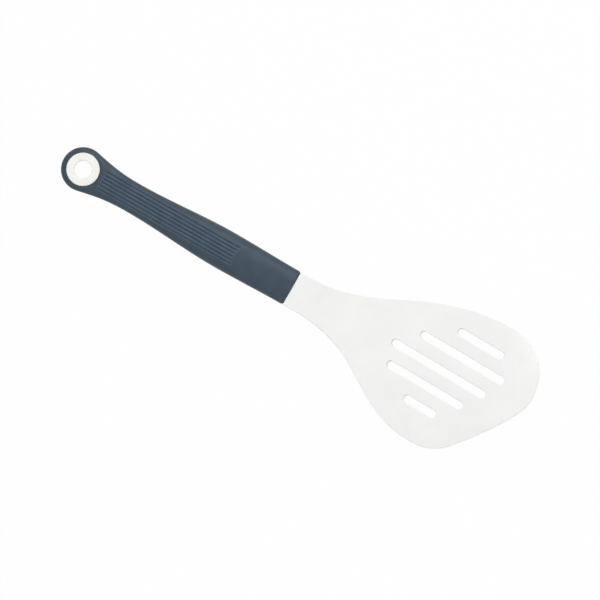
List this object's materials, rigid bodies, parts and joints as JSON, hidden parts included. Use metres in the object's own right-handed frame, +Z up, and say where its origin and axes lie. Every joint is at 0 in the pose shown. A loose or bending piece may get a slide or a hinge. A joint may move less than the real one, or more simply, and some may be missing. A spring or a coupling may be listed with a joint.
{
  "type": "slotted turner spatula",
  "caption": "Slotted kitchen turner: soft white paddle with draining slots and slanted front edge on a stiff insert, neck, ribbed slate-blue soft grip over a white core with a hang eye.",
  "frame": {"origin": "on the table that the turner lies on, under the middle of its box", "axes": "+X along the tool from the hang eye to the blade's tip, +Y to the side of the blade's longer edge, +Z up from the table, the food side up"},
  "size_m": [0.3258, 0.0924, 0.0251],
  "materials": {
    "white_silicone": "smooth matt moulded silicone",
    "stiff_nylon": "matt glass-filled nylon, hidden",
    "white_core_plastic": "satin moulded polypropylene",
    "slate_soft_grip": "soft-touch matt thermoplastic rubber"
  },
  "bodies": {
    "root": {"silicone_head": "white_silicone", "blade_insert": "stiff_nylon", "handle_core": "white_core_plastic", "grip": "slate_soft_grip"}
  },
  "joints": []
}
